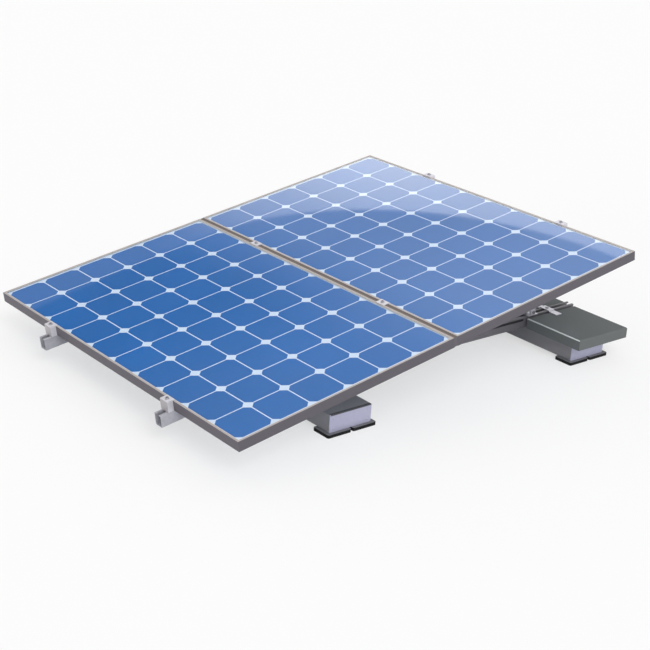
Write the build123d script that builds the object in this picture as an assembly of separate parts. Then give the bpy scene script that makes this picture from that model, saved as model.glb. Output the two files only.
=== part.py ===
"""Two-module flat-roof solar mount, tilted 10 degrees and held down by ballast.

Origin: on the roof, below the middle of the mount. +X runs uphill, +Z is up, and the module seam
runs along Y. The left side is +Y, the right side is -Y. All sizes are in millimetres.
"""

import os
from math import cos, radians, sin

from build123d import *

# --- driving dimensions -----------------------------------------------------------------------
tilt = 10.0  # degrees, slope of the modules

module_length = 1650.0  # along the seam
module_width = 992.0  # up the slope
module_depth = 40.0  # height of the aluminium frame
module_gap = 16.5  # between the two modules, filled by the middle clamps

cell_pitch = 161.5
cell_size = 156.0
cell_corner = 20.0  # leg of the cut corner of a pseudo-square cell
cells_up_slope = 6
cells_along_seam = 10

glass_thick = 3.2
cell_thick = 0.4
backsheet_thick = 0.8

frame_wall = 1.6
frame_lip = 8.0  # top lip that holds the glass
frame_lip_thick = 1.5
frame_shelf = 11.0  # shelf below the laminate
frame_flange = 28.0  # bottom flange that sits on the rails
edge_play = 1.0  # room between the laminate and the frame wall

rail_width = 40.0
rail_height = 50.0
rail_wall = 2.5
rail_lip = 10.0
rail_lip_turn = 6.0
rail_corner = 3.0  # outside radius of the cold-rolled corners
rail_spacing = 825.0  # between the two pairs of rails
rail_overhang = 56.5  # past the module frames, both ends

box_width = 200.0
box_height = 72.0
box_length = 1365.0
box_sheet = 2.0
cap_sheet = 2.0
cap_flange = 18.0
front_box_x = -407.5  # centre of the front ballast box
rear_box_x = 901.5  # centre of the rear ballast box

pad_height = 13.0
pad_depth = 90.0
pad_proud = 16.0  # how far the pads stand out round the end of a box
pad_split = 9.0  # gap between the two pads of a pair
pad_corner = 5.0

slab_size = 300.0
slab_thick = 45.0
slab_chamfer = 4.0
slab_x = 924.5  # centre of the paving slabs
slab_gap = 9.0  # between a slab and the rail beside it

base_rail_start = -667.5
base_rail_end = 1077.5

front_joint_x = -635.0
rear_leg_x = 812.5
slab_hook_x = 928.0

bolt_size = 8.0
bolt_hole = 9.0
head_across = 13.0
head_height = 5.3
nut_height = 6.5

# --- levels and places that follow from them ----------------------------------------------------
box_bottom = pad_height
box_top = box_bottom + box_height
base_rail_top = box_top + rail_height
array_width = 2 * module_width + module_gap
laminate_top = -frame_lip_thick
laminate_bottom = laminate_top - glass_thick - cell_thick - backsheet_thick
rail_y = rail_spacing / 2
sides = {"left": 1, "right": -1}

# The slope frame: X up the slope from the lower edge of the array, Y along the seam, Z square to
# the glass with 0 at the top of the module frames.
low_edge_x = -1028.8
low_edge_z = 172.0
slope = Location((low_edge_x, 0, low_edge_z), (0, -tilt, 0))


def on_slope(a, n):
    """X and Z of a point given up the slope (a) and square to the glass (n)."""
    x = low_edge_x + a * cos(radians(tilt)) - n * sin(radians(tilt))
    z = low_edge_z + a * sin(radians(tilt)) + n * cos(radians(tilt))
    return x, z


def slope_at(x, n):
    """Distance up the slope of the point with this X, at this depth below the glass."""
    return (x - low_edge_x + n * sin(radians(tilt))) / cos(radians(tilt))


def block(x, y, z):
    """Box from three (low, high) pairs."""
    size = [high - low for low, high in (x, y, z)]
    centre = [(high + low) / 2 for low, high in (x, y, z)]
    return Pos(*centre) * Box(*size)


def hole_y(x, z, size=bolt_hole, length=80.0, y=0.0):
    """Cylinder along Y, to cut a cross-bolt hole."""
    return Pos(x, y, z) * Rot(90, 0, 0) * Cylinder(size / 2, length)


def hole_z(x, y, z, size=bolt_hole, length=30.0):
    """Cylinder along Z, to cut a hole for a bolt from above."""
    return Pos(x, y, z) * Cylinder(size / 2, length)


# --- solar modules --------------------------------------------------------------------------------
def frame_section():
    """Extruded frame profile: X inwards from the outer face, Y up, top at zero."""
    points = [
        (0, 0),
        (frame_lip, 0),
        (frame_lip, laminate_top),
        (frame_wall, laminate_top),
        (frame_wall, laminate_bottom),
        (frame_shelf, laminate_bottom),
        (frame_shelf, laminate_bottom - frame_wall),
        (frame_wall, laminate_bottom - frame_wall),
        (frame_wall, -module_depth + frame_wall),
        (frame_flange, -module_depth + frame_wall),
        (frame_flange, -module_depth),
        (0, -module_depth),
    ]
    return make_face(Polyline(points, close=True))


def frame_bar(length):
    """Mitred bar along X, with its outer face on Y = 0 and the module on its +Y side."""
    section = Plane(origin=(-length / 2, 0, 0), x_dir=(0, 1, 0), z_dir=(1, 0, 0)) * frame_section()
    bar = extrude(section, length)
    reach = frame_flange + 10
    plan = Polyline(
        [(-length / 2, 0), (length / 2, 0), (length / 2 - reach, reach), (-length / 2 + reach, reach)],
        close=True,
    )
    mitre = extrude(Pos(0, 0, -module_depth - 1) * make_face(plan), module_depth + 2)
    return bar & mitre


def module_frame(start):
    """Four bars of the module whose lower edge is this far up the slope."""
    middle = start + module_width / 2
    half = module_length / 2
    return {
        "low_bar": Pos(start, 0, 0) * Rot(0, 0, -90) * frame_bar(module_length),
        "high_bar": Pos(start + module_width, 0, 0) * Rot(0, 0, 90) * frame_bar(module_length),
        "right_bar": Pos(middle, -half, 0) * frame_bar(module_width),
        "left_bar": Pos(middle, half, 0) * Rot(0, 0, 180) * frame_bar(module_width),
    }


def pane(start, top, thick):
    """Flat sheet that fills the frame's glazing groove."""
    inset = frame_wall + edge_play
    a = (start + inset, start + module_width - inset)
    y = (-module_length / 2 + inset, module_length / 2 - inset)
    return block(a, y, (top - thick, top))


def cell_wafers(start):
    """Sixty pseudo-square wafers in a 6 x 10 grid."""
    outline = chamfer(Rectangle(cell_size, cell_size).vertices(), cell_corner)
    wafer = extrude(outline, -cell_thick)
    middle = start + module_width / 2
    top = laminate_top - glass_thick
    grid = GridLocations(cell_pitch, cell_pitch, cells_up_slope, cells_along_seam)
    return Compound(children=[Pos(middle, 0, top) * place * wafer for place in grid])


junction_length = 120.0
junction_width = 90.0
junction_height = 20.0
junction_wall = 2.5
junction_corner = 6.0
lid_thick = 3.0
gland_hole = 12.0


def junction_box(start):
    """Shallow shell glued to the backsheet near the upper edge, and its lid below."""
    a = start + module_width - 95
    bottom = laminate_bottom - junction_height
    outer = Pos(a, 0, bottom + junction_height / 2) * Box(junction_width, junction_length, junction_height)
    outer = chamfer(outer.edges().filter_by(Axis.Z), junction_corner)
    hollow = Pos(a, 0, bottom + (junction_height - junction_wall) / 2) * Box(
        junction_width - 2 * junction_wall,
        junction_length - 2 * junction_wall,
        junction_height - junction_wall,
    )
    shell = outer - hollow
    for y in (-35, 35):
        gland = Pos(a - junction_width / 2, y, bottom + junction_height / 2) * Rot(0, 90, 0)
        shell -= gland * Cylinder(gland_hole / 2, 4 * junction_wall)
    lid = Pos(a, 0, bottom - lid_thick / 2) * Box(junction_width, junction_length, lid_thick)
    lid = chamfer(lid.edges().filter_by(Axis.Z), junction_corner)
    return shell, lid


# --- rails ----------------------------------------------------------------------------------------
def rail_section():
    """Lipped C-section, open upwards, standing on zero."""
    half = rail_width / 2
    lip = half - rail_lip
    right = [
        (0, 0),
        (half, 0),
        (half, rail_height),
        (lip, rail_height),
        (lip, rail_height - rail_lip_turn),
        (lip + rail_wall, rail_height - rail_lip_turn),
        (lip + rail_wall, rail_height - rail_wall),
        (half - rail_wall, rail_height - rail_wall),
        (half - rail_wall, rail_wall),
        (0, rail_wall),
    ]
    left = [(-x, z) for x, z in reversed(right[1:-1])]
    face = make_face(Polyline(right + left, close=True))
    corners = [v for v in face.vertices() if abs(abs(v.X) - half) < 0.01]
    return fillet(corners, rail_corner)


def c_rail(start, end, bottom):
    """Rail along X, centred on Y = 0."""
    section = Plane(origin=(start, 0, bottom), x_dir=(0, 1, 0), z_dir=(1, 0, 0)) * rail_section()
    return extrude(section, end - start)


rail_axis_n = -module_depth - rail_height / 2
front_joint_z = box_top + rail_height / 2
front_joint_a = slope_at(front_joint_x, rail_axis_n)
leg_top_a = slope_at(rear_leg_x, rail_axis_n)
leg_top_z = on_slope(leg_top_a, rail_axis_n)[1]


def module_rail(y):
    """Sloping rail below both modules, drilled for the front plates and the rear leg."""
    rail = c_rail(-rail_overhang, array_width + rail_overhang, -module_depth - rail_height)
    for a in (front_joint_a, leg_top_a):
        rail -= hole_y(a, rail_axis_n)
    return slope * Pos(0, y, 0) * rail


def base_rail(y):
    """Level rail across both ballast boxes, drilled for the front plates and the box bolts."""
    rail = c_rail(base_rail_start, base_rail_end, box_top)
    rail -= hole_y(front_joint_x, front_joint_z)
    for x in (front_box_x, rear_box_x):
        rail -= hole_z(x, 0, box_top)
    return Pos(0, y, 0) * rail


# --- clamps -----------------------------------------------------------------------------------------
clamp_length = 46.0
clamp_thick = 3.5
clamp_grip = 8.0
clamp_reach = 25.0  # outwards from the module frame
clamp_bolt_out = 9.0  # bolt centre, outwards from the module frame
clamp_play = 0.5  # between a clamp and the side of the module frame
clamp_cheek = 3.0
mid_leg_depth = 14.0
clamp_bolt_places = {
    "low": -clamp_bolt_out,
    "mid": module_width + module_gap / 2,
    "high": array_width + clamp_bolt_out,
}


def end_clamp():
    """Pressed clamp: a plate over the frame's lip, a leg down to the rail, and a cheek at each end.

    The module frame is on the +X side.
    """
    points = [
        (clamp_grip, 0),
        (clamp_grip, clamp_thick),
        (-clamp_reach, clamp_thick),
        (-clamp_reach, -module_depth),
        (-clamp_reach + clamp_thick, -module_depth),
        (-clamp_reach + clamp_thick, 0),
    ]
    face = make_face(Polyline(points, close=True))
    outer = [v for v in face.vertices() if v.X < -clamp_reach + 0.01 and v.Y > 0]
    face = fillet(outer, clamp_thick)
    face = Plane(origin=(0, clamp_length / 2, 0), x_dir=(1, 0, 0), z_dir=(0, -1, 0)) * face
    body = extrude(face, clamp_length)
    for end in (-1, 1):
        inner = end * (clamp_length / 2 - clamp_cheek)
        outer = end * clamp_length / 2
        cheek_a = (-clamp_reach + clamp_thick / 2, -clamp_play)
        body += block(cheek_a, (min(inner, outer), max(inner, outer)), (-module_depth, 0))
    return body - hole_z(-clamp_bolt_out, 0, 0)


def mid_clamp():
    """Plate over both frames' lips, with two legs that drop into the gap."""
    half = module_gap / 2
    plate = block((-half - clamp_grip, half + clamp_grip), (-clamp_length / 2, clamp_length / 2), (0, clamp_thick))
    body = plate
    leg_y = (-clamp_length / 2, clamp_length / 2)
    for leg in (-1, 1):
        outer = leg * (half - clamp_play)
        inner = leg * (half - clamp_play - 2.0)
        body += block((min(outer, inner), max(outer, inner)), leg_y, (-mid_leg_depth, 0))
    return body - hole_z(0, 0, 0)


def clamp_at(kind, y):
    if kind == "low":
        return slope * Pos(0, y, 0) * end_clamp()
    if kind == "high":
        return slope * Pos(array_width, y, 0) * Rot(0, 0, 180) * end_clamp()
    return slope * Pos(clamp_bolt_places["mid"], y, 0) * mid_clamp()


channel_nut_top = -module_depth - rail_lip_turn
channel_nut_thick = 8.0
channel_nut_length = 24.0
channel_nut_width = 33.0
socket_radius = 3.5
socket_depth = 3.5


def clamp_bolt():
    """Socket-head bolt from the clamp plate down into the channel nut."""
    head = Pos(0, 0, clamp_thick + head_height / 2) * Cylinder(head_across / 2, head_height)
    socket = extrude(Pos(0, 0, clamp_thick + head_height) * RegularPolygon(socket_radius, 6), -socket_depth)
    bottom = channel_nut_top - channel_nut_thick - 3
    shank = Pos(0, 0, (clamp_thick + bottom) / 2) * Cylinder(bolt_size / 2, clamp_thick - bottom)
    return head - socket + shank


def channel_nut():
    """Spring-less slot nut, gripped under the turned lips of the rail."""
    middle = channel_nut_top - channel_nut_thick / 2
    nut = Pos(0, 0, middle) * Box(channel_nut_length, channel_nut_width, channel_nut_thick)
    return nut - hole_z(0, 0, middle, bolt_size)


def at_clamps(piece):
    """The same piece at all six clamps."""
    places = [slope * Pos(a, side * rail_y, 0) for a in clamp_bolt_places.values() for side in (-1, 1)]
    return Compound(children=[place * piece for place in places])


# --- front plates, rear legs and their feet -----------------------------------------------------------
plate_thick = 4.0
plate_corner = 8.0
plate_width = 38.0
leg_wall = 2.5
leg_depth = 36.0
leg_corner = 10.0  # clipped corners of the flange ends
foot_thick = 3.0
foot_length = 60.0
foot_play = 0.3
leg_inner = rail_width / 2  # half the clear width between the leg's flanges
leg_outer = leg_inner + leg_wall
foot_inner = leg_outer + foot_play
foot_outer = foot_inner + foot_thick
ear_radius = 14.0
leg_foot_z = base_rail_top + foot_thick + 12.0


def joining_plate():
    """Flat plate with clipped corners and two bolt holes, in the XZ plane, thickness along Y."""
    top_z = on_slope(front_joint_a, rail_axis_n)[1]
    middle = (front_joint_z + top_z) / 2
    height = top_z - front_joint_z + plate_width
    plate = Pos(front_joint_x, 0, middle) * Box(plate_width, plate_thick, height)
    plate = chamfer(plate.edges().filter_by(Axis.Y), plate_corner)
    for z in (front_joint_z, top_z):
        plate -= hole_y(front_joint_x, z)
    return plate


def front_plates(y):
    """One joining plate on each side of a pair of rails."""
    plate = joining_plate()
    outside = rail_width / 2 + plate_thick / 2
    return Compound(children=[Pos(0, y + side * outside, 0) * plate for side in (-1, 1)])


def rear_leg(y):
    """Folded U-channel post, its flanges bolted over the sloping rail and between the foot's ears."""
    length = leg_top_z - leg_foot_z
    centre = (leg_top_z + leg_foot_z) / 2
    body = Pos(rear_leg_x, 0, centre) * Box(leg_depth, 2 * leg_outer, length + leg_depth)
    body = chamfer(body.edges().filter_by(Axis.Y), leg_corner)
    body -= block(
        (rear_leg_x - leg_depth, rear_leg_x + leg_depth / 2 - leg_wall),
        (-leg_inner, leg_inner),
        (leg_foot_z - leg_depth, leg_top_z + leg_depth),
    )
    rail_clear = leg_top_z - rail_height / 2 - 14
    body -= block(
        (rear_leg_x, rear_leg_x + leg_depth), (-leg_inner, leg_inner), (rail_clear, leg_top_z + leg_depth)
    )
    body -= block(
        (rear_leg_x, rear_leg_x + leg_depth),
        (-leg_inner, leg_inner),
        (leg_foot_z - leg_depth, leg_foot_z + ear_radius),
    )
    floor = base_rail_top + foot_thick + foot_play
    body -= block(
        (rear_leg_x - leg_depth, rear_leg_x + leg_depth), (-leg_outer, leg_outer), (floor - leg_depth, floor)
    )
    for z in (leg_foot_z, leg_top_z):
        body -= hole_y(rear_leg_x, z)
    return Pos(0, y, 0) * body


def leg_foot(y):
    """U-bracket on top of the base rail, with two rounded ears that hold the leg."""
    ear_top = leg_foot_z
    body = block(
        (rear_leg_x - foot_length / 2, rear_leg_x + foot_length / 2),
        (-foot_outer, foot_outer),
        (base_rail_top, base_rail_top + foot_thick),
    )
    for side in (-1, 1):
        ear_y = (min(side * foot_inner, side * foot_outer), max(side * foot_inner, side * foot_outer))
        body += block((rear_leg_x - ear_radius, rear_leg_x + ear_radius), ear_y, (base_rail_top, ear_top))
        round_end = Pos(rear_leg_x, sum(ear_y) / 2, ear_top) * Rot(90, 0, 0)
        body += round_end * Cylinder(ear_radius, foot_thick)
    body -= hole_y(rear_leg_x, leg_foot_z)
    for x in foot_bolt_x:
        body -= hole_z(x, 0, base_rail_top)
    return Pos(0, y, 0) * body


foot_bolt_x = (rear_leg_x - foot_length / 2 + 7, rear_leg_x + foot_length / 2 - 7)


# --- slab hooks -----------------------------------------------------------------------------------------
hook_thick = 3.0
hook_width = 34.0
hook_foot = 42.0
slab_top = box_top + slab_thick


def slab_hooks(y):
    """Folded strip bolted on the rail, with a foot pressed on the slab at each side."""
    x = (slab_hook_x - hook_width / 2, slab_hook_x + hook_width / 2)
    edge = rail_width / 2
    drop = edge + slab_gap / 2
    end = edge + slab_gap + hook_foot
    half = [
        (0, base_rail_top),
        (drop, base_rail_top),
        (drop, slab_top),
        (end, slab_top),
        (end, slab_top + hook_thick),
        (drop + hook_thick, slab_top + hook_thick),
        (drop + hook_thick, base_rail_top + hook_thick),
        (0, base_rail_top + hook_thick),
    ]
    other = [(-v, z) for v, z in reversed(half[1:-1])]
    face = make_face(Polyline(half + other, close=True))
    face = Plane(origin=(x[0], 0, 0), x_dir=(0, 1, 0), z_dir=(1, 0, 0)) * face
    body = extrude(face, hook_width) - hole_z(slab_hook_x, 0, base_rail_top)
    return Pos(0, y, 0) * body


# --- ballast boxes, slabs and pads ------------------------------------------------------------------------
def box_tube(x):
    """Closed sheet tube of a ballast box, open at both ends, drilled for the rail bolts."""
    y = (-box_length / 2 + cap_sheet, box_length / 2 - cap_sheet)
    outer = block((x - box_width / 2, x + box_width / 2), y, (box_bottom, box_top))
    outer = fillet(outer.edges().filter_by(Axis.Y), 3)
    inner = block(
        (x - box_width / 2 + box_sheet, x + box_width / 2 - box_sheet),
        (-box_length / 2, box_length / 2),
        (box_bottom + box_sheet, box_top - box_sheet),
    )
    tube = outer - inner
    for side in (-1, 1):
        tube -= hole_z(x, side * rail_y, box_top, length=20)
    return tube


def box_cap(x, side):
    """Folded end cap, its four flanges pushed inside the tube."""
    end = side * box_length / 2
    inside = end - side * cap_sheet
    plate_y = (min(end, inside), max(end, inside))
    plate = block((x - box_width / 2, x + box_width / 2), plate_y, (box_bottom, box_top))
    plate = fillet(plate.edges().filter_by(Axis.Y), 3)
    flange_end = inside - side * cap_flange
    flange_y = (min(inside, flange_end), max(inside, flange_end))
    play = box_sheet + 0.2
    ring = block(
        (x - box_width / 2 + play, x + box_width / 2 - play),
        flange_y,
        (box_bottom + play, box_top - play),
    )
    bore = play + cap_sheet
    ring -= block(
        (x - box_width / 2 + bore, x + box_width / 2 - bore),
        flange_y,
        (box_bottom + bore, box_top - bore),
    )
    return plate + ring


block_count = 4
block_length = 320.0
block_width = 180.0
block_height = 46.0


def ballast_blocks(x):
    """Row of plain concrete blocks inside a box."""
    bottom = box_bottom + box_sheet
    one = Pos(x, 0, bottom + block_height / 2) * Box(block_width, block_length, block_height)
    one = chamfer(one.edges().group_by(Axis.Z)[-1], 4)
    return Compound(children=[place * one for place in GridLocations(0, block_length + 4, 1, block_count)])


def pads(x, side):
    """Pair of rubber pads below one end of a box, standing out round it."""
    half_width = box_width / 2 + pad_proud
    near = side * (box_length / 2 + pad_proud)
    far = near - side * pad_depth
    y = (min(near, far), max(near, far))
    pieces = []
    for along in ((-half_width, -pad_split / 2), (pad_split / 2, half_width)):
        pad = block((x + along[0], x + along[1]), y, (0, pad_height))
        pieces.append(chamfer(pad.edges().filter_by(Axis.Z), pad_corner))
    return Compound(children=pieces)


def slab(y):
    """Concrete paving slab with chamfered top edges."""
    body = Pos(slab_x, y, box_top + slab_thick / 2) * Box(slab_size, slab_size, slab_thick)
    return chamfer(body.edges().group_by(Axis.Z)[-1], slab_chamfer)


# --- cross bolts, their nuts, and the short bolts ------------------------------------------------------------
def hex_prism(height):
    return extrude(RegularPolygon(head_across / 2, 6, major_radius=False), height)


def cross_bolt(reach):
    """Hex bolt along Y: head on the -Y side, shank past the nut on the +Y side."""
    head = Pos(0, 0, -reach - head_height) * hex_prism(head_height)
    length = 2 * reach + nut_height + 3
    shank = Pos(0, 0, -reach + length / 2) * Cylinder(bolt_size / 2, length)
    return Rot(-90, 0, 0) * (head + shank)


def cross_nut(reach):
    nut = Pos(0, 0, reach) * hex_prism(nut_height) - Cylinder(bolt_size / 2, 200)
    return Rot(-90, 0, 0) * nut


def cross_places():
    """X, Z and half grip of the cross bolts of one pair of rails."""
    plates = rail_width / 2 + plate_thick
    plate_top_z = on_slope(front_joint_a, rail_axis_n)[1]
    return [
        (front_joint_x, front_joint_z, plates),
        (front_joint_x, plate_top_z, plates),
        (rear_leg_x, leg_foot_z, foot_outer),
        (rear_leg_x, leg_top_z, leg_outer),
    ]


def at_crossings(make):
    pieces = []
    for side in (-1, 1):
        for x, z, reach in cross_places():
            pieces.append(Pos(x, side * rail_y, z) * make(reach))
    return Compound(children=pieces)


short_bolt_length = 18.0


def short_bolt():
    """Hex bolt along Z with its head resting on zero."""
    shank = Pos(0, 0, -short_bolt_length / 2) * Cylinder(bolt_size / 2, short_bolt_length)
    return hex_prism(head_height) + shank


def short_bolts():
    """Bolts of the rails on the boxes, of the legs' feet, and of the slab hooks."""
    places = []
    for side in (-1, 1):
        y = side * rail_y
        places += [(x, y, box_top + rail_wall) for x in (front_box_x, rear_box_x)]
        places += [(x, y, base_rail_top + foot_thick) for x in foot_bolt_x]
        places.append((slab_hook_x, y, base_rail_top + hook_thick))
    return Compound(children=[Pos(*place) * short_bolt() for place in places])


def base_nuts():
    """Slot nuts under the lips of the base rails, below the feet and the hooks."""
    top = base_rail_top - rail_lip_turn
    nut = Pos(0, 0, -channel_nut_thick / 2) * Box(14, channel_nut_width, channel_nut_thick)
    nut -= Cylinder(bolt_size / 2, 40)
    pieces = []
    for side in (-1, 1):
        for x in (*foot_bolt_x, slab_hook_x):
            pieces.append(Pos(x, side * rail_y, top) * nut)
    return Compound(children=pieces)


# --- the whole mount --------------------------------------------------------------------------------------------
nodes = {}

for name, start in (("lower", 0.0), ("upper", module_width + module_gap)):
    for bar, solid in module_frame(start).items():
        nodes[f"{name}_module_{bar}"] = slope * solid
    cells_top = laminate_top - glass_thick
    nodes[f"{name}_module_glass"] = slope * pane(start, laminate_top, glass_thick)
    nodes[f"{name}_module_cells"] = slope * cell_wafers(start)
    nodes[f"{name}_module_backsheet"] = slope * pane(start, cells_top - cell_thick, backsheet_thick)
    shell, lid = junction_box(start)
    nodes[f"{name}_junction_box"] = slope * shell
    nodes[f"{name}_junction_lid"] = slope * lid

for side, sign in sides.items():
    y = sign * rail_y
    nodes[f"{side}_module_rail"] = module_rail(y)
    nodes[f"{side}_base_rail"] = base_rail(y)
    for kind in clamp_bolt_places:
        nodes[f"{side}_{kind}_clamp"] = clamp_at(kind, y)
    nodes[f"{side}_front_plates"] = front_plates(y)
    nodes[f"{side}_rear_leg"] = rear_leg(y)
    nodes[f"{side}_leg_foot"] = leg_foot(y)
    nodes[f"{side}_slab_hook"] = slab_hooks(y)
    slab_out = rail_width / 2 + slab_gap + slab_size / 2
    nodes[f"{side}_outer_slab"] = slab(y + sign * slab_out)
    nodes[f"{side}_inner_slab"] = slab(y - sign * slab_out)

for name, x in (("front", front_box_x), ("rear", rear_box_x)):
    nodes[f"{name}_ballast_box"] = box_tube(x)
    nodes[f"{name}_ballast_blocks"] = ballast_blocks(x)
    for side, sign in sides.items():
        nodes[f"{name}_box_{side}_cap"] = box_cap(x, sign)
        nodes[f"{name}_{side}_pads"] = pads(x, sign)

nodes["clamp_bolts"] = at_clamps(clamp_bolt())
nodes["clamp_nuts"] = at_clamps(channel_nut())
nodes["cross_bolts"] = at_crossings(cross_bolt)
nodes["cross_nuts"] = at_crossings(cross_nut)
nodes["short_bolts"] = short_bolts()
nodes["base_nuts"] = base_nuts()

os.makedirs("parts", exist_ok=True)
for name, shape in nodes.items():
    export_step(shape, f"parts/{name}.step")
print(len(nodes), "nodes")
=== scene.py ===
from math import cos, pi, radians, sin

import bmesh
import bpy
from mathutils import Matrix, Vector


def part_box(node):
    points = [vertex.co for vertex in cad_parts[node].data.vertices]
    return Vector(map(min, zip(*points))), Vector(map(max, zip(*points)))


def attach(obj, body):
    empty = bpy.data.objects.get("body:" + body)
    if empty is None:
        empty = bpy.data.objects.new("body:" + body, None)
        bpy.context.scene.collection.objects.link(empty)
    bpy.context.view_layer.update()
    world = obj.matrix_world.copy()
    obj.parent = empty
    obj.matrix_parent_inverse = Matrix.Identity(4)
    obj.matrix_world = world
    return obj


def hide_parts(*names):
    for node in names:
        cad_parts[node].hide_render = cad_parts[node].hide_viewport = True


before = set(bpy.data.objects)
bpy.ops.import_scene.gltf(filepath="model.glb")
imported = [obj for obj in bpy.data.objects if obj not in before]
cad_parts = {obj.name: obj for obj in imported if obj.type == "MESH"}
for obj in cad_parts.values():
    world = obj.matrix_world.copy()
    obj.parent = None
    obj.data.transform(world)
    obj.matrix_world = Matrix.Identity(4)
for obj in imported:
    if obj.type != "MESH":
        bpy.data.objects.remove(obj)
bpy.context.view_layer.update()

# ---------------------------------------------------------------------------------------------
# The studio: a wide pale floor that keeps a soft shadow, a white surround, and a broad soft lamp
# from the right side, so that the ends of the boxes and rails are the lightest faces.
# ---------------------------------------------------------------------------------------------
bpy.context.scene.view_settings.view_transform = "Standard"


def deselect_all():
    for o in bpy.context.selected_objects:
        o.select_set(False)


def new_material(name):
    material = bpy.data.materials.new(name)
    material.use_nodes = True
    material.node_tree.nodes.clear()
    return material, material.node_tree.nodes, material.node_tree.links


floor_size = 60.0
floor_white = 0.9
shadow_depth = 0.42
deselect_all()
bpy.ops.mesh.primitive_plane_add(size=floor_size, location=(0, 0, 0))
floor = bpy.context.object
floor.name = "studio_floor"
floor_material, nodes, links = new_material("studio_floor_paint")
out = nodes.new("ShaderNodeOutputMaterial")
paint = nodes.new("ShaderNodeBsdfDiffuse")
paint.inputs["Color"].default_value = (floor_white, floor_white, floor_white, 1)
glow = nodes.new("ShaderNodeEmission")
glow.inputs["Color"].default_value = (1, 1, 1, 1)
glow.inputs["Strength"].default_value = 1.0
seen = nodes.new("ShaderNodeMixShader")
seen.inputs["Fac"].default_value = shadow_depth
path = nodes.new("ShaderNodeLightPath")
by_ray = nodes.new("ShaderNodeMixShader")
links.new(glow.outputs["Emission"], seen.inputs[1])
links.new(paint.outputs["BSDF"], seen.inputs[2])
links.new(path.outputs["Is Camera Ray"], by_ray.inputs["Fac"])
links.new(paint.outputs["BSDF"], by_ray.inputs[1])
links.new(seen.outputs["Shader"], by_ray.inputs[2])
links.new(by_ray.outputs["Shader"], out.inputs["Surface"])
floor.data.materials.append(floor_material)

# The surround lights everything evenly. Seen in the glass, it is a dark studio wall with a large
# round edge, and paler soft boxes beyond that edge and over the upper module.
world = bpy.data.worlds.new("studio_surround")
bpy.context.scene.world = world
world.use_nodes = True
nodes, links = world.node_tree.nodes, world.node_tree.links
nodes.clear()


def maths(operation, *values):
    """Math node on numbers or sockets, in the tree that is being built."""
    node = nodes.new("ShaderNodeMath")
    node.operation = operation
    for socket, value in zip(node.inputs, values):
        if isinstance(value, (int, float)):
            socket.default_value = value
        else:
            links.new(value, socket)
    return node.outputs[0]


def ramp_between(value, start, end, low, high):
    """Smooth step of a socket from low at start to high at end."""
    node = nodes.new("ShaderNodeMapRange")
    node.interpolation_type = "SMOOTHSTEP"
    links.new(value, node.inputs["Value"])
    node.inputs["From Min"].default_value = start
    node.inputs["From Max"].default_value = end
    node.inputs["To Min"].default_value = low
    node.inputs["To Max"].default_value = high
    return node.outputs["Result"]


slope_tilt = radians(10)
direction = nodes.new("ShaderNodeTexCoord")
level = nodes.new("ShaderNodeMapping")
level.vector_type = "VECTOR"
level.inputs["Rotation"].default_value = (0, slope_tilt, 0)
parts = nodes.new("ShaderNodeSeparateXYZ")
links.new(direction.outputs["Generated"], level.inputs["Vector"])
links.new(level.outputs["Vector"], parts.inputs["Vector"])
height = maths("MAXIMUM", parts.outputs["Z"], 0.05)
uphill = maths("DIVIDE", parts.outputs["X"], height)
across = maths("DIVIDE", parts.outputs["Y"], height)
edge_uphill, edge_across = 1.2305, 1.401  # centre of the round edge, as tangents of its direction
reach_up, reach_down, reach_across = 0.375, 1.25, 0.531
above = maths("GREATER_THAN", uphill, edge_uphill)
reach = maths("ADD", maths("MULTIPLY", above, reach_up - reach_down), reach_down)
offset_up = maths("DIVIDE", maths("SUBTRACT", uphill, edge_uphill), reach)
offset_across = maths("DIVIDE", maths("SUBTRACT", across, edge_across), reach_across)
up_squared = maths("MULTIPLY", offset_up, offset_up)
across_squared = maths("MULTIPLY", offset_across, offset_across)
squares = maths("ADD", up_squared, across_squared)
ring = maths("SQRT", squares)
past_edge = ramp_between(ring, 0.985, 1.015, 0, 1)
faded = ramp_between(ring, 1.5, 2.4, 1, 0)
wall_level = ramp_between(uphill, 1.10, 1.36, 0.05, 0.8)
near_level = ramp_between(across, 1.75, 1.35, 0, 0.5)
box_level = ramp_between(uphill, 1.15, 1.75, 0.45, 3.2)
far_level = ramp_between(across, 1.35, 1.98, 0.55, 1.0)
softbox = maths("MULTIPLY", maths("MULTIPLY", box_level, far_level), past_edge)
wall = maths("ADD", wall_level, near_level)
mirrored = maths("MULTIPLY", maths("ADD", wall, softbox), faded)
plain_mirror = 0.75
mirrored = maths("ADD", mirrored, maths("MULTIPLY", maths("SUBTRACT", 1.0, faded), plain_mirror))

surround_strength = 0.75
backdrop_strength = 1.0
out = nodes.new("ShaderNodeOutputWorld")
lighting = nodes.new("ShaderNodeBackground")
lighting.inputs["Color"].default_value = (1, 1, 1, 1)
lighting.inputs["Strength"].default_value = surround_strength
white = nodes.new("ShaderNodeBackground")
white.inputs["Color"].default_value = (1, 1, 1, 1)
white.inputs["Strength"].default_value = backdrop_strength
reflected = nodes.new("ShaderNodeBackground")
reflected.inputs["Color"].default_value = (1, 0.985, 0.96, 1)
links.new(mirrored, reflected.inputs["Strength"])
path = nodes.new("ShaderNodeLightPath")
glossy_mix = nodes.new("ShaderNodeMixShader")
links.new(path.outputs["Is Glossy Ray"], glossy_mix.inputs["Fac"])
links.new(lighting.outputs["Background"], glossy_mix.inputs[1])
links.new(reflected.outputs["Background"], glossy_mix.inputs[2])
camera_mix = nodes.new("ShaderNodeMixShader")
links.new(path.outputs["Is Camera Ray"], camera_mix.inputs["Fac"])
links.new(glossy_mix.outputs["Shader"], camera_mix.inputs[1])
links.new(white.outputs["Background"], camera_mix.inputs[2])
links.new(camera_mix.outputs["Shader"], out.inputs["Surface"])

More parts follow.
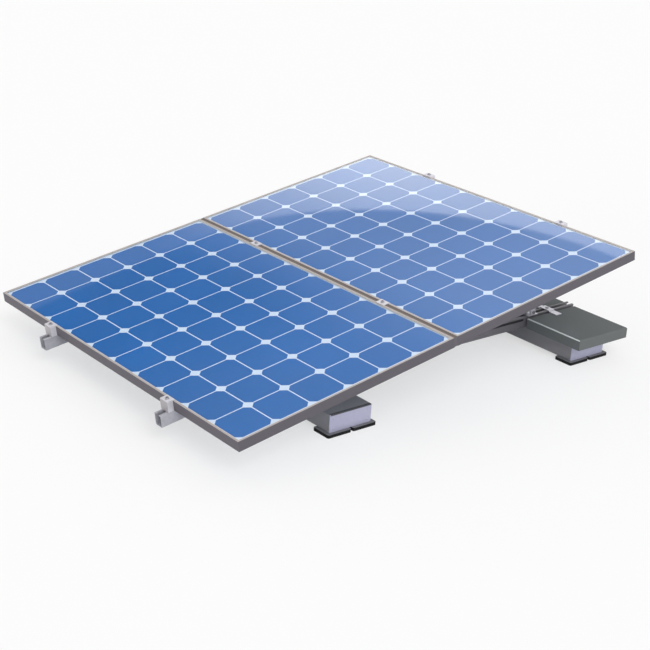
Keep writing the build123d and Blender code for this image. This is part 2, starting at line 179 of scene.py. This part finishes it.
key_strength = 1.35
key_angle = radians(35)
bpy.ops.object.light_add(type="SUN")
key = bpy.context.object
key.name = "key_lamp"
key.data.energy = key_strength
key.data.angle = key_angle
key_from = Vector((-0.25, -0.80, 0.72))
key.rotation_euler = key_from.to_track_quat("Z", "Y").to_euler()

# A weak, almost level lamp from the low edge lifts the faces that look down the slope.
fill_strength = 0.7
fill_angle = radians(30)
bpy.ops.object.light_add(type="SUN")
fill = bpy.context.object
fill.name = "fill_lamp"
fill.data.energy = fill_strength
fill.data.angle = fill_angle
fill_from = Vector((-1.0, -0.15, 0.05))
fill.rotation_euler = fill_from.to_track_quat("Z", "Y").to_euler()

# The camera stands low at the corner of the lower module, looking up the slope and to the far side.
camera_place = Vector((-3.6845, -4.3475, 2.328))
camera_look = Vector((0.6044, 0.7090, -0.3635))
camera_roll = radians(3.69)
camera_lens = 81.27
bpy.ops.object.camera_add(location=camera_place)
camera = bpy.context.object
camera.name = "studio_camera"
camera.data.sensor_width = 36.0
camera.data.lens = camera_lens
turn = camera_look.to_track_quat("-Z", "Y").to_matrix() @ Matrix.Rotation(camera_roll, 3, "Z")
camera.rotation_euler = turn.to_euler()
bpy.context.scene.camera = camera


# ---------------------------------------------------------------------------------------------
# Shared way of finishing a surface: colour that varies a little, roughness that varies with it,
# and a fine bump. First needed by the module frames; each finish sets its own scale and amounts.
# ---------------------------------------------------------------------------------------------
def linear(*rgb):
    """Linear colour from 0-255 screen values."""
    return tuple(((v / 255 + 0.055) / 1.055) ** 2.4 if v > 10 else v / 255 / 12.92 for v in rgb)


def finish(name, colour, metallic, roughness, spread, grain, stretch, bump_height, specular=0.5):
    """Principled finish with noise-driven colour, roughness and bump on Object coordinates."""
    material, nodes, links = new_material(name)
    out = nodes.new("ShaderNodeOutputMaterial")
    shader = nodes.new("ShaderNodeBsdfPrincipled")
    shader.inputs["Metallic"].default_value = metallic
    shader.inputs["Specular IOR Level"].default_value = specular
    place = nodes.new("ShaderNodeTexCoord")
    mapping = nodes.new("ShaderNodeMapping")
    mapping.inputs["Scale"].default_value = stretch
    noise = nodes.new("ShaderNodeTexNoise")
    noise.inputs["Scale"].default_value = grain
    noise.inputs["Detail"].default_value = 6
    tint = nodes.new("ShaderNodeValToRGB")
    tint.color_ramp.elements[0].position = 0.3
    tint.color_ramp.elements[1].position = 0.7
    tint.color_ramp.elements[0].color = (*[c * (1 - spread) for c in colour], 1)
    tint.color_ramp.elements[1].color = (*[min(1, c * (1 + spread)) for c in colour], 1)
    rough = nodes.new("ShaderNodeMapRange")
    rough.inputs["To Min"].default_value = roughness - 0.06
    rough.inputs["To Max"].default_value = roughness + 0.06
    bump = nodes.new("ShaderNodeBump")
    bump.inputs["Strength"].default_value = 0.6
    bump.inputs["Distance"].default_value = bump_height
    links.new(place.outputs["Object"], mapping.inputs["Vector"])
    links.new(mapping.outputs["Vector"], noise.inputs["Vector"])
    links.new(noise.outputs["Fac"], tint.inputs["Fac"])
    links.new(noise.outputs["Fac"], rough.inputs["Value"])
    links.new(noise.outputs["Fac"], bump.inputs["Height"])
    links.new(tint.outputs["Color"], shader.inputs["Base Color"])
    links.new(rough.outputs["Result"], shader.inputs["Roughness"])
    links.new(bump.outputs["Normal"], shader.inputs["Normal"])
    links.new(shader.outputs["BSDF"], out.inputs["Surface"])
    return material


def dress(name, material):
    """Put one finish on all of a CAD node."""
    node = bpy.data.objects[name]
    node.data.materials.clear()
    node.data.materials.append(material)
    return node


modules = ("lower", "upper")
sides = ("left", "right")

# ---------------------------------------------------------------------------------------------
# Module frames: anodised aluminium extrusion, drawn along each bar, so its fine lines run with
# the bar. Four mitred bars a module. The top lips carry a painted highlight, paler than the sides.
# ---------------------------------------------------------------------------------------------
def paint_light_by_facing(material, direction, start, end, colour):
    """Blend a finish into another colour on the faces that look in one direction: painted light or shade.

    It makes the material's tree the one that maths and ramp_between build in.
    """
    global nodes, links
    nodes, links = material.node_tree.nodes, material.node_tree.links
    shader = next(n for n in nodes if n.type == "BSDF_PRINCIPLED")
    under = shader.inputs["Base Color"].links[0].from_socket
    facing = nodes.new("ShaderNodeNewGeometry")
    agreement = nodes.new("ShaderNodeVectorMath")
    agreement.operation = "DOT_PRODUCT"
    agreement.inputs[1].default_value = direction
    over = nodes.new("ShaderNodeMix")
    over.data_type = "RGBA"
    over.inputs["B"].default_value = (*colour, 1)
    links.new(facing.outputs["Normal"], agreement.inputs[0])
    links.new(ramp_between(agreement.outputs["Value"], start, end, 0, 1), over.inputs["Factor"])
    links.new(under, over.inputs["A"])
    links.new(over.outputs["Result"], shader.inputs["Base Color"])


frame_colour = linear(92, 88, 96)
lip_highlight_colour = linear(180, 173, 172)
bars_along_seam = finish("anodised_bar_y", frame_colour, 0.3, 0.45, 0.07, 60, (9, 0.15, 9), 0.00005)
bars_up_slope = finish("anodised_bar_x", frame_colour, 0.3, 0.45, 0.07, 60, (0.15, 9, 9), 0.00005)
# Painted highlight: the faces that look up, the top lips, are blended to a paler colour.
for bar_finish in (bars_along_seam, bars_up_slope):
    paint_light_by_facing(bar_finish, (0, 0, 1), 0.9, 0.96, lip_highlight_colour)
for module in modules:
    for bar in ("low", "high"):
        dress(f"{module}_module_{bar}_bar", bars_along_seam)
    for bar in sides:
        dress(f"{module}_module_{bar}_bar", bars_up_slope)

# ---------------------------------------------------------------------------------------------
# Backsheet: a white polymer film behind the cells, slightly blue through the glass.
# ---------------------------------------------------------------------------------------------
backsheet_white = linear(222, 234, 250)
backsheet_film = finish("backsheet_film", backsheet_white, 0.0, 0.45, 0.02, 20, (1, 1, 1), 0.00002)
for module in modules:
    dress(f"{module}_module_backsheet", backsheet_film)

# ---------------------------------------------------------------------------------------------
# Cells: pseudo-square silicon wafers, blue, each a slightly different shade, with faint fingers.
# ---------------------------------------------------------------------------------------------
cell_blue = linear(14, 105, 179)
cell_pitch = 0.1615
cell_size = 0.156
finger_pitch = 0.0022
finger_contrast = 0.05
cell_contrast = 0.25
for module in modules:
    cells_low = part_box(f"{module}_module_cells")[0]
    margin = (cell_pitch - cell_size) / 2
    grid_up = cos(slope_tilt) * cells_low[0] + sin(slope_tilt) * cells_low[2] - margin
    grid_across = cells_low[1] - margin
    cell_material, nodes, links = new_material(f"silicon_cell_{module}")
    out = nodes.new("ShaderNodeOutputMaterial")
    shader = nodes.new("ShaderNodeBsdfPrincipled")
    shader.inputs["Roughness"].default_value = 0.4
    shader.inputs["Specular IOR Level"].default_value = 0.3
    place = nodes.new("ShaderNodeTexCoord")
    grid = nodes.new("ShaderNodeMapping")
    grid.vector_type = "POINT"
    grid.inputs["Rotation"].default_value = (0, slope_tilt, 0)
    grid.inputs["Location"].default_value = (-grid_up, -grid_across, 0)
    flat = nodes.new("ShaderNodeSeparateXYZ")
    shade = nodes.new("ShaderNodeTexWhiteNoise")
    shade.noise_dimensions = "2D"
    square = nodes.new("ShaderNodeCombineXYZ")
    cloud = nodes.new("ShaderNodeTexNoise")
    cloud.inputs["Scale"].default_value = 3.0
    tint = nodes.new("ShaderNodeValToRGB")
    tint.color_ramp.elements[0].position = 0.35
    tint.color_ramp.elements[1].position = 0.95
    tint.color_ramp.elements[0].color = (*[c * 0.94 for c in cell_blue], 1)
    tint.color_ramp.elements[1].color = (*[c * 1.06 for c in cell_blue], 1)
    links.new(place.outputs["Object"], cloud.inputs["Vector"])
    links.new(place.outputs["Object"], grid.inputs["Vector"])
    links.new(grid.outputs["Vector"], flat.inputs["Vector"])
    links.new(maths("FLOOR", maths("DIVIDE", flat.outputs["X"], cell_pitch)), square.inputs["X"])
    links.new(maths("FLOOR", maths("DIVIDE", flat.outputs["Y"], cell_pitch)), square.inputs["Y"])
    links.new(square.outputs["Vector"], shade.inputs["Vector"])
    fingers = maths("SINE", maths("MULTIPLY", flat.outputs["X"], 2 * pi / finger_pitch))
    each_cell = maths("MULTIPLY", shade.outputs["Value"], cell_contrast)
    lines_here = maths("MULTIPLY", fingers, finger_contrast)
    level_here = maths("ADD", maths("ADD", each_cell, cloud.outputs["Fac"]), lines_here)
    links.new(level_here, tint.inputs["Fac"])
    links.new(tint.outputs["Color"], shader.inputs["Base Color"])
    links.new(shader.outputs["BSDF"], out.inputs["Surface"])
    dress(f"{module}_module_cells", cell_material)

# ---------------------------------------------------------------------------------------------
# Glass: a clear tempered pane over the cells. It lets the lamps through and mirrors the surround
# more where it is seen at a low angle.
# ---------------------------------------------------------------------------------------------
pane_material, nodes, links = new_material("tempered_glass")
out = nodes.new("ShaderNodeOutputMaterial")
clear = nodes.new("ShaderNodeBsdfTransparent")
clear.inputs["Color"].default_value = (0.97, 0.985, 1.0, 1)
mirror = nodes.new("ShaderNodeBsdfGlossy")
mirror.inputs["Roughness"].default_value = 0.02
edge = nodes.new("ShaderNodeFresnel")
edge.inputs["IOR"].default_value = 1.45
inside = nodes.new("ShaderNodeNewGeometry")
front_only = nodes.new("ShaderNodeMath")
front_only.operation = "SUBTRACT"
front_only.inputs[0].default_value = 1.0
share = nodes.new("ShaderNodeMath")
share.operation = "MULTIPLY"
surface = nodes.new("ShaderNodeMixShader")
links.new(inside.outputs["Backfacing"], front_only.inputs[1])
links.new(edge.outputs["Fac"], share.inputs[0])
links.new(front_only.outputs["Value"], share.inputs[1])
links.new(share.outputs["Value"], surface.inputs["Fac"])
links.new(clear.outputs["BSDF"], surface.inputs[1])
links.new(mirror.outputs["BSDF"], surface.inputs[2])
links.new(surface.outputs["Shader"], out.inputs["Surface"])

# ---------------------------------------------------------------------------------------------
# Junction boxes: black moulded plastic on the underside of each module, with a lid.
# ---------------------------------------------------------------------------------------------
junction_plastic = finish("junction_plastic", linear(34, 34, 36), 0.0, 0.5, 0.1, 400, (1, 1, 1), 0.0001)
for module in modules:
    dress(f"{module}_junction_box", junction_plastic)
    dress(f"{module}_junction_lid", junction_plastic)

# ---------------------------------------------------------------------------------------------
# Rails, front plates and legs: galvanised sheet, cold rolled, satin grey with a faint spangle.
# The base rails get a darker copy of the same steel, as painted shade.
# ---------------------------------------------------------------------------------------------
rail_steel = finish("galvanised_rail", linear(186, 186, 194), 0.5, 0.45, 0.08, 90, (0.6, 1, 1), 0.00005)
# Painted shade: the base rails have a darker grey than the other rails, for the shade they lie in.
base_rail_shaded_grey = linear(118, 116, 121)
base_rail_shaded_steel = finish("galvanised_base_rail_painted_shade", base_rail_shaded_grey, 0.4, 0.5, 0.08, 90, (0.6, 1, 1), 0.00005)
for side in sides:
    for name in ("module_rail", "front_plates", "rear_leg"):
        dress(f"{side}_{name}", rail_steel)
    dress(f"{side}_base_rail", base_rail_shaded_steel)

# ---------------------------------------------------------------------------------------------
# Clamps, hooks and leg feet: bright zinc-plated folded brackets, with painted shade on the faces
# that look down the slope.
# ---------------------------------------------------------------------------------------------
bright_zinc = finish("bright_zinc", linear(218, 216, 224), 0.4, 0.38, 0.05, 150, (1, 1, 1), 0.00005)
# Painted shade: the faces that look down the slope are blended to a darker grey.
paint_light_by_facing(bright_zinc, (-1, 0, 0), 0.8, 0.97, linear(172, 168, 172))
for side in sides:
    for name in ("low_clamp", "mid_clamp", "high_clamp", "leg_foot", "slab_hook"):
        dress(f"{side}_{name}", bright_zinc)

# ---------------------------------------------------------------------------------------------
# Bolts and nuts: plain stainless steel.
# ---------------------------------------------------------------------------------------------
stainless = finish("stainless_bolt", linear(170, 170, 176), 0.85, 0.35, 0.06, 300, (1, 1, 1), 0.00003)
for name in ("clamp_bolts", "clamp_nuts", "cross_bolts", "cross_nuts", "short_bolts", "base_nuts"):
    dress(name, stainless)

# ---------------------------------------------------------------------------------------------
# Paving slabs and the blocks inside the boxes: dense dark concrete with a fine sandy grain, with
# a painted highlight on the chamfer along the low side.
# ---------------------------------------------------------------------------------------------
slab_concrete = finish("slab_concrete", linear(100, 104, 104), 0.0, 0.85, 0.06, 260, (1, 1, 1), 0.0004, 0.3)
# Painted highlight: the faces that look up and towards the low side, the chamfer, are blended pale.
paint_light_by_facing(slab_concrete, (-0.707, 0, 0.707), 0.93, 0.98, linear(205, 209, 206))
for side in sides:
    for name in ("outer_slab", "inner_slab"):
        dress(f"{side}_{name}", slab_concrete)
for name in ("front_ballast_blocks", "rear_ballast_blocks"):
    dress(name, slab_concrete)

# ---------------------------------------------------------------------------------------------
# Ballast boxes: painted sheet tubes with bright galvanised end caps, on black rubber pads.
# ---------------------------------------------------------------------------------------------
box_paint = finish("box_paint", linear(132, 131, 135), 0.0, 0.5, 0.03, 40, (1, 1, 1), 0.00005)
cap_zinc = finish("cap_zinc", linear(180, 180, 204), 0.2, 0.45, 0.03, 60, (1, 1, 1), 0.00004)
pad_rubber = finish("pad_rubber", linear(14, 14, 15), 0.0, 0.7, 0.15, 500, (1, 1, 1), 0.0002, 0.3)

# The pads' flat tops are painted paler than their sides, a painted highlight where the light falls.
paint_light_by_facing(pad_rubber, (0, 0, 1), 0.7, 0.95, linear(118, 118, 122))
for box in ("front", "rear"):
    dress(f"{box}_ballast_box", box_paint)
    for side in sides:
        dress(f"{box}_box_{side}_cap", cap_zinc)
        dress(f"{box}_{side}_pads", pad_rubber)


# ---------------------------------------------------------------------------------------------
# Joint strip: grey rubber closes the gap between the modules, in three lengths that stop short
# of the middle clamps, with a shallow channel on top. A small cover closes each end of the gap.
# ---------------------------------------------------------------------------------------------
def only(piece):
    """Make one piece the active object and the only one selected."""
    deselect_all()
    piece.select_set(True)
    bpy.context.view_layer.objects.active = piece


def plain_bar(name, size):
    """Cuboid about the origin, to be shaped further."""
    deselect_all()
    bpy.ops.mesh.primitive_cube_add(size=1)
    piece = bpy.context.object
    piece.name = name
    piece.scale = size
    bpy.ops.object.transform_apply(location=False, rotation=False, scale=True)
    return piece


def pick_faces(piece, test):
    """Edit mode on one piece, with only the faces that pass a test selected."""
    only(piece)
    bpy.ops.object.mode_set(mode="EDIT")
    bpy.ops.mesh.select_mode(type="FACE")
    bpy.ops.mesh.select_all(action="DESELECT")
    shape = bmesh.from_edit_mesh(piece.data)
    for face in shape.faces:
        face.select_set(bool(test(face)))
    bmesh.update_edit_mesh(piece.data)


def sink_top(piece, rim, depth):
    """Inset the upward face by a rim and lower it by a depth; below zero it is raised."""
    pick_faces(piece, lambda face: face.normal.z > 0.9)
    bpy.ops.mesh.inset(thickness=rim)
    bpy.ops.transform.translate(value=(0, 0, -depth))
    bpy.ops.object.mode_set(mode="OBJECT")


def thicken(piece, height):
    """Give a flat shape some height, upwards."""
    only(piece)
    sheet = piece.modifiers.new("thickness", "SOLIDIFY")
    sheet.thickness = height
    sheet.offset = 1
    bpy.ops.object.modifier_apply(modifier=sheet.name)


def round_edges(piece, width):
    """Bevel every sharp edge of a piece."""
    only(piece)
    bevel = piece.modifiers.new("rounded", "BEVEL")
    bevel.width = width
    bevel.segments = 2
    bevel.limit_method = "ANGLE"
    bpy.ops.object.modifier_apply(modifier=bevel.name)


def copy_of(piece, name):
    """Another object like a piece, with its own mesh."""
    only(piece)
    bpy.ops.object.duplicate(linked=False)
    twin = bpy.context.object
    twin.name = name
    return twin


def set_in_place(piece, matrix, material):
    """Put the place of a finished shape into its mesh, and hang it on the part."""
    only(piece)
    piece.matrix_world = matrix
    bpy.ops.object.transform_apply(location=True, rotation=True, scale=True)
    piece.data.materials.clear()
    piece.data.materials.append(material)
    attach(piece, "root")


frame_lip = 0.008
bar_low, bar_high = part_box("lower_module_low_bar")
slope_start = Matrix.Translation((bar_low[0], 0, bar_high[2] - frame_lip * sin(slope_tilt)))
slope_turn = Matrix.Rotation(-slope_tilt, 4, "Y")


def on_slope(up, across, above):
    """Place up the slope from the low edge, across it, and above the top of the frames."""
    return slope_start @ slope_turn @ Matrix.Translation((up, across, above))


module_width = 0.992
module_gap = 0.0165
module_half = 0.825
joint_up = module_width + module_gap / 2
strip_width = module_gap - 0.0004
strip_height = 0.006
strip_below = 0.0012
channel_rim = 0.0045
channel_depth = 0.0015
strip_rounding = 0.0006
cover_thick = 0.003
cover_height = 0.037
cover_rim = 0.003
cover_dish = 0.0008
cover_rounding = 0.0005
clamp_line = 0.4125
clamp_room = 0.024
strip_end = module_half - cover_thick - 0.0005
joint_rubber = finish("joint_rubber", linear(110, 101, 96), 0.0, 0.7, 0.08, 300, (1, 1, 1), 0.0001)
cover_plastic = finish("joint_cover", linear(92, 88, 94), 0.0, 0.55, 0.05, 300, (1, 1, 1), 0.0001)
beside_clamp, before_clamp = clamp_line + clamp_room, clamp_line - clamp_room
strip_spans = ((-strip_end, -beside_clamp), (-before_clamp, before_clamp), (beside_clamp, strip_end))
for number, (start, end) in enumerate(strip_spans):
    strip = plain_bar(f"joint_strip_{number}", (strip_width, end - start, strip_height))
    sink_top(strip, channel_rim, channel_depth)
    round_edges(strip, strip_rounding)
    strip_place = on_slope(joint_up, (start + end) / 2, -strip_below - strip_height / 2)
    set_in_place(strip, strip_place, joint_rubber)
for side, sign in (("left", 1), ("right", -1)):
    cover = plain_bar(f"{side}_joint_cover", (strip_width, cover_height, cover_thick))
    sink_top(cover, cover_rim, cover_dish)
    round_edges(cover, cover_rounding)
    upright = Matrix.Rotation(radians(-90 * sign), 4, "X")
    cover_across = sign * (module_half - cover_thick / 2)
    cover_place = on_slope(joint_up, cover_across, -strip_below - cover_height / 2)
    set_in_place(cover, cover_place @ upright, cover_plastic)

# ---------------------------------------------------------------------------------------------
# Glass panes: each solid's pane again with ground edges, its underside a hair above the wafers,
# so that the two faces don't lie in one plane.
# ---------------------------------------------------------------------------------------------
glass_thick = 0.0032
glass_clear = 0.0001
ground_edge = 0.0004
for module in modules:
    glass_low, glass_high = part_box(f"{module}_module_glass")
    span = glass_high - glass_low
    pane_length = (span.x - glass_thick * sin(slope_tilt)) / cos(slope_tilt)
    pane = plain_bar(f"{module}_ground_pane", (pane_length, span.y, glass_thick - glass_clear))
    round_edges(pane, ground_edge)
    pane_place = Matrix.Translation((glass_low + glass_high) / 2) @ slope_turn
    raised = Matrix.Translation((0, 0, glass_clear / 2))
    set_in_place(pane, pane_place @ raised, pane_material)
    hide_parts(f"{module}_module_glass")

# ---------------------------------------------------------------------------------------------
# Glass beads: a pale line of sealant where each pane meets the lips of its frame.
# ---------------------------------------------------------------------------------------------
bead_width = 0.0028
bead_height = 0.0011
bead_rounding = 0.0005
glass_level = -0.0015
sealant = finish("glass_sealant", linear(214, 208, 200), 0.0, 0.5, 0.04, 200, (1, 1, 1), 0.0001)
for module, start in (("lower", 0), ("upper", module_width + module_gap)):
    deselect_all()
    bpy.ops.mesh.primitive_plane_add(size=1)
    bead = bpy.context.object
    bead.name = f"{module}_glass_bead"
    bead.scale = (module_width - 2 * frame_lip, 2 * (module_half - frame_lip), 1)
    bpy.ops.object.transform_apply(location=False, rotation=False, scale=True)
    pick_faces(bead, lambda face: True)
    bpy.ops.mesh.inset(thickness=bead_width)
    bpy.ops.mesh.delete(type="FACE")
    bpy.ops.object.mode_set(mode="OBJECT")
    thicken(bead, bead_height)
    round_edges(bead, bead_rounding)
    bead_place = on_slope(start + module_width / 2, 0, glass_level)
    set_in_place(bead, bead_place, sealant)

# ---------------------------------------------------------------------------------------------
# Washers and socket plugs on the six clamp bolts: a flat ring under each head, and a black
# hexagonal plug in each socket that stands in for the shade inside it, as painted shade.
# ---------------------------------------------------------------------------------------------
clamp_outward = 0.009
head_foot = 0.0035
head_top = 0.0088
head_radius = 0.0065
ring_play = 0.0002
ring_width = 0.0021
ring_height = 0.0012
ring_rounding = 0.0003
ring_inner = head_radius + ring_play
plug_radius = 0.0033
plug_length = 0.003
plug_rim = 0.001
plug_crown = 0.0004
plug_rounding = 0.0002
plug_below_head = 0.0013
deselect_all()
bpy.ops.mesh.primitive_circle_add(vertices=32, radius=ring_inner)
ring_master = bpy.context.object
ring_master.name = "clamp_washer"
bpy.ops.object.mode_set(mode="EDIT")
bpy.ops.mesh.select_mode(type="EDGE")
bpy.ops.mesh.select_all(action="SELECT")
bpy.ops.mesh.extrude_region()
wider = 1 + ring_width / ring_inner
bpy.ops.transform.resize(value=(wider, wider, 1))
bpy.ops.mesh.select_all(action="SELECT")
bpy.ops.mesh.normals_make_consistent(inside=False)
bpy.ops.object.mode_set(mode="OBJECT")
thicken(ring_master, ring_height)
round_edges(ring_master, ring_rounding)
deselect_all()
bpy.ops.mesh.primitive_cylinder_add(vertices=6, radius=plug_radius, depth=plug_length)
plug_master = bpy.context.object
plug_master.name = "socket_shade_plug"
sink_top(plug_master, plug_rim, -plug_crown)
round_edges(plug_master, plug_rounding)
twelfth_turn = Matrix.Rotation(radians(30), 4, "Z")
# Black for painted shade, used by the socket plugs and the base rail strips.
painted_shade_black = finish("painted_shade_black", linear(28, 28, 30), 0.0, 0.5, 0.1, 400, (1, 1, 1), 0.00005)
clamp_ups = (-clamp_outward, joint_up, 2 * module_width + module_gap + clamp_outward)
# Painted shade: a black plug in each hex socket shows the shade inside the socket.
for row, up in enumerate(clamp_ups):
    for side, sign in (("left", 1), ("right", -1)):
        washer = copy_of(ring_master, f"{side}_clamp_washer_{row}")
        set_in_place(washer, on_slope(up, sign * clamp_line, head_foot), stainless)
        shade_stand_in = copy_of(plug_master, f"{side}_socket_shade_plug_{row}")
        shade_stand_in_place = on_slope(up, sign * clamp_line, head_top - plug_below_head) @ twelfth_turn
        set_in_place(shade_stand_in, shade_stand_in_place, painted_shade_black)
for master in (ring_master, plug_master):
    bpy.data.objects.remove(master)

# ---------------------------------------------------------------------------------------------
# Gland nuts: a moulded hexagonal nut round each lead opening of the junction boxes, on the side
# that looks down the slope.
# ---------------------------------------------------------------------------------------------
nut_length = 0.009
nut_radius = 0.0095
nut_rim = 0.0028
nut_mouth = 0.006
nut_rounding = 0.0005
gland_up = 0.852  # the junction box's low side, from the module's low edge
gland_across = 0.035
gland_above = -0.0159
deselect_all()
bpy.ops.mesh.primitive_cylinder_add(vertices=6, radius=nut_radius, depth=nut_length)
nut_master = bpy.context.object
nut_master.name = "gland_nut"
sink_top(nut_master, nut_rim, nut_mouth)
round_edges(nut_master, nut_rounding)
downhill = Matrix.Rotation(radians(-90), 4, "Y")
for module, start in (("lower", 0), ("upper", module_width + module_gap)):
    for side, sign in (("left", 1), ("right", -1)):
        gland = copy_of(nut_master, f"{module}_{side}_gland_nut")
        gland_place = on_slope(start + gland_up - nut_length / 2, sign * gland_across, gland_above)
        set_in_place(gland, gland_place @ downhill, junction_plastic)
bpy.data.objects.remove(nut_master)

# ---------------------------------------------------------------------------------------------
# Base rail strips: a black strip along the upper part of each side of the base rails, between
# the front plates and the rear leg. It stands in for the shade of the rail's slot: painted shade.
# ---------------------------------------------------------------------------------------------
side_strip_length = 1.30
side_strip_width = 0.010
side_strip_thick = 0.0012
side_strip_rim = 0.002
side_strip_dish = 0.0004
side_strip_rounding = 0.0003
side_strip_middle = 0.11
side_strip_drop = 0.013
slot_shade_master = plain_bar("rail_slot_shade", (side_strip_length, side_strip_width, side_strip_thick))
sink_top(slot_shade_master, side_strip_rim, side_strip_dish)
round_edges(slot_shade_master, side_strip_rounding)
# Painted shade: each strip is a dark sheet where the rail's slot lies in shade.
for side in sides:
    rail_low, rail_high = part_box(f"{side}_base_rail")
    outwards = 1 if side == "left" else -1
    for face, sign in (("outer", outwards), ("inner", -outwards)):
        strip = copy_of(slot_shade_master, f"{side}_rail_{face}_strip")
        face_y = rail_high[1] if sign > 0 else rail_low[1]
        strip_y = face_y + sign * side_strip_thick / 2
        strip_place = Matrix.Translation((side_strip_middle, strip_y, rail_high[2] - side_strip_drop))
        upright = Matrix.Rotation(radians(-90 * sign), 4, "X")
        set_in_place(strip, strip_place @ upright, painted_shade_black)
bpy.data.objects.remove(slot_shade_master)

# ---------------------------------------------------------------------------------------------
# Cap trims and rivets: a dark folded trim over the top edge of each end cap, and four domed
# rivets through its face.
# ---------------------------------------------------------------------------------------------
trim_sheet = 0.0008
trim_back = 0.008
trim_drop = 0.005
trim_length = 0.194
trim_rounding = 0.0002
rivet_radius = 0.0045
rivet_dome = 0.4
rivet_from_middle = 0.082
rivet_above_foot = 0.014
rivet_below_top = 0.018
trim_master = plain_bar("cap_trim", (trim_length, trim_back, trim_sheet))
pick_faces(trim_master, lambda face: face.normal.y < -0.9)
bpy.ops.mesh.extrude_region_move(TRANSFORM_OT_translate={"value": (0, -trim_sheet, 0)})
bpy.ops.object.mode_set(mode="OBJECT")
pick_faces(trim_master, lambda face: face.normal.z < -0.9 and face.calc_center_median().y < -trim_back / 2)
bpy.ops.mesh.extrude_region_move(TRANSFORM_OT_translate={"value": (0, 0, -trim_drop)})
bpy.ops.object.mode_set(mode="OBJECT")
round_edges(trim_master, trim_rounding)
deselect_all()
bpy.ops.mesh.primitive_uv_sphere_add(segments=16, ring_count=8, radius=rivet_radius)
rivet_master = bpy.context.object
rivet_master.name = "cap_rivet"
pick_faces(rivet_master, lambda face: face.calc_center_median().z < 0)
bpy.ops.mesh.delete(type="FACE")
bpy.ops.mesh.select_all(action="SELECT")
bpy.ops.transform.resize(value=(1, 1, rivet_dome), center_override=(0, 0, 0))
bpy.ops.mesh.faces_shade_smooth()
bpy.ops.object.mode_set(mode="OBJECT")
trim_steel = finish("trim_steel", linear(66, 66, 70), 0.0, 0.5, 0.05, 200, (1, 1, 1), 0.00005)
for box in ("front", "rear"):
    for side, sign in (("left", 1), ("right", -1)):
        cap_low, cap_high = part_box(f"{box}_box_{side}_cap")
        middle = (cap_low[0] + cap_high[0]) / 2
        end = cap_high[1] if sign > 0 else cap_low[1]
        about = Matrix.Rotation(pi if sign > 0 else 0, 4, "Z")
        outward = Matrix.Rotation(radians(-90 * sign), 4, "X")
        edge = copy_of(trim_master, f"{box}_{side}_cap_trim")
        edge_place = Matrix.Translation((middle, end - sign * trim_back / 2, cap_high[2] + trim_sheet / 2))
        set_in_place(edge, edge_place @ about, trim_steel)
        for column in (-1, 1):
            for row, rivet_z in enumerate((cap_low[2] + rivet_above_foot, cap_high[2] - rivet_below_top)):
                head = copy_of(rivet_master, f"{box}_{side}_rivet_{column}_{row}")
                head_place = Matrix.Translation((middle + column * rivet_from_middle, end, rivet_z))
                set_in_place(head, head_place @ outward, cap_zinc)
for master in (trim_master, rivet_master):
    bpy.data.objects.remove(master)
